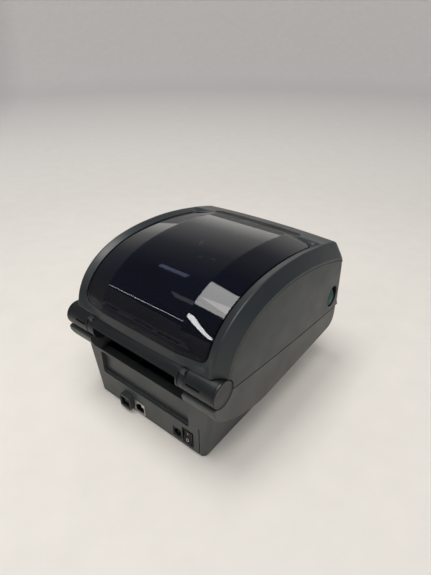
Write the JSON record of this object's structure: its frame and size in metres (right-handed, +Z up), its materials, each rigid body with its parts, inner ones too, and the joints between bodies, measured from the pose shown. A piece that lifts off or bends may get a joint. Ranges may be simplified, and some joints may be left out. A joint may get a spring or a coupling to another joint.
{
  "type": "thermal label printer",
  "caption": "Desktop label printer with an arched smoked window in a hinged cover, side latches, rear fan-fold slot, roll holders, platen drive and sprung print head.",
  "frame": {"origin": "middle of the footprint, on the surface the rubber feet stand on", "axes": "+Y to the rear with the hinge and sockets, -Y to the front with the label exit, +Z up, +X to the right of a person who faces the front"},
  "size_m": [0.171, 0.21, 0.152],
  "materials": {
    "shell": "fine moulded texture",
    "panel": "fine moulded texture",
    "smoked": "smoked clear plastic, glossy",
    "rubber": "matte",
    "black_plastic": "satin",
    "inner_grey": "moulded",
    "teal": "satin",
    "steel": "plated",
    "zinc": "zinc plated sheet",
    "heat_sink": "extruded",
    "white_nylon": "moulded nylon",
    "board": "solder mask",
    "light_pipe": "translucent",
    "ceramic": "glazed ceramic"
  },
  "bodies": {
    "base": {"base_housing": "shell", "bottom_plate": "black_plastic", "bottom_screw_1": "steel", "bottom_screw_2": "steel", "bottom_screw_3": "steel", "bottom_screw_4": "steel", "rubber_foot_1": "rubber", "rubber_foot_2": "rubber", "rubber_foot_3": "rubber", "rubber_foot_4": "rubber", "hinge_barrel": "shell", "hinge_cap_left": "shell", "hinge_cap_right": "shell", "hinge_pin_left": "steel", "hinge_pin_right": "steel", "front_bezel": "shell", "tear_bar": "steel", "side_frame_left": "zinc", "side_frame_right": "zinc", "platen_bush_left": "white_nylon", "platen_bush_right": "white_nylon", "stepper_motor": "steel", "media_tray": "inner_grey", "mainboard": "board", "usb_socket": "steel", "lan_socket": "steel", "power_socket": "black_plastic", "switch_case": "black_plastic", "latch_catch_left": "zinc", "latch_catch_right": "zinc"},
    "cover": {"cover_frame": "shell", "side_panel_left": "panel", "side_panel_right": "panel", "window": "smoked", "window_seal": "rubber", "label_plate": "black_plastic", "status_ring": "light_pipe", "head_hanger": "zinc"},
    "feed_button": {"feed_button": "shell"},
    "latch": {"latch_bar": "zinc", "latch_button_left": "teal", "latch_button_right": "teal"},
    "print_head": {"head_carrier": "zinc", "heat_sink": "heat_sink", "print_head": "ceramic"},
    "rocker": {"power_rocker": "black_plastic"},
    "platen": {"platen_shaft": "steel", "platen_roller": "rubber", "platen_gear": "white_nylon"},
    "idler": {"idler_gear": "white_nylon"},
    "motor_rotor": {"motor_pinion": "steel"},
    "holder_left": {"roll_holder_left": "inner_grey"},
    "holder_right": {"roll_holder_right": "inner_grey"},
    "hub_left": {"roll_hub_left": "inner_grey"},
    "hub_right": {"roll_hub_right": "inner_grey"},
    "holder_pinion": {"holder_pinion": "white_nylon"},
    "sensor": {"media_sensor": "black_plastic"}
  },
  "joints": [
    {"name": "cover_open", "type": "hinge", "parent": "base", "child": "cover", "pos_m": [0, 0.0935, 0.086], "axis": [-1, 0, 0], "range_deg": [0, 88]},
    {"name": "latch_pull", "type": "slide", "parent": "cover", "child": "latch", "axis": [0, -1, 0], "range_m": [0, 0.004], "stiffness_N_per_m": 400, "springref_m": -0.003},
    {"name": "feed_press", "type": "slide", "parent": "cover", "child": "feed_button", "axis": [0, 1, 0], "range_m": [0, 0.0015], "stiffness_N_per_m": 500, "springref_m": -0.001},
    {"name": "head_float", "type": "hinge", "parent": "cover", "child": "print_head", "pos_m": [0, -0.066, 0.09], "axis": [-1, 0, 0], "range_deg": [0, 3], "stiffness_Nm_per_rad": 3, "springref_deg": -8.59},
    {"name": "power_switch", "type": "hinge", "parent": "base", "child": "rocker", "pos_m": [-0.0488, 0.0925, 0.0138], "axis": [-1, 0, 0], "range_deg": [0, 16]},
    {"name": "platen_spin", "type": "hinge", "parent": "base", "child": "platen", "pos_m": [0, -0.086, 0.06], "axis": [1, 0, 0], "continuous": true},
    {"name": "idler_spin", "type": "hinge", "parent": "base", "child": "idler", "pos_m": [0.0658, -0.07129, 0.04766], "axis": [1, 0, 0], "continuous": true},
    {"name": "motor_spin", "type": "hinge", "parent": "base", "child": "motor_rotor", "pos_m": [0.0658, -0.05903, 0.03737], "axis": [1, 0, 0], "continuous": true},
    {"name": "holder_right_slide", "type": "slide", "parent": "base", "child": "holder_right", "axis": [-1, 0, 0], "range_m": [0, 0.038]},
    {"name": "holder_left_slide", "type": "slide", "parent": "base", "child": "holder_left", "axis": [1, 0, 0], "range_m": [0, 0.038]},
    {"name": "holder_pinion_spin", "type": "hinge", "parent": "base", "child": "holder_pinion", "pos_m": [0, 0.015, 0.008], "axis": [0, 0, 1], "range_deg": [0, 315]},
    {"name": "hub_left_spin", "type": "hinge", "parent": "holder_left", "child": "hub_left", "pos_m": [-0.0564, 0.015, 0.082], "axis": [1, 0, 0], "continuous": true},
    {"name": "hub_right_spin", "type": "hinge", "parent": "holder_right", "child": "hub_right", "pos_m": [0.0564, 0.015, 0.082], "axis": [1, 0, 0], "continuous": true},
    {"name": "sensor_slide", "type": "slide", "parent": "base", "child": "sensor", "axis": [1, 0, 0], "range_m": [-0.03, 0.03]}
  ],
  "couplings": [
    {"joint": "idler_spin", "follows": "platen_spin", "ratio": -0.71429},
    {"joint": "motor_spin", "follows": "platen_spin", "ratio": 1.6667},
    {"joint": "holder_left_slide", "follows": "holder_right_slide", "ratio": 1},
    {"joint": "holder_pinion_spin", "follows": "holder_right_slide", "rad_per_m": 142.86}
  ]
}
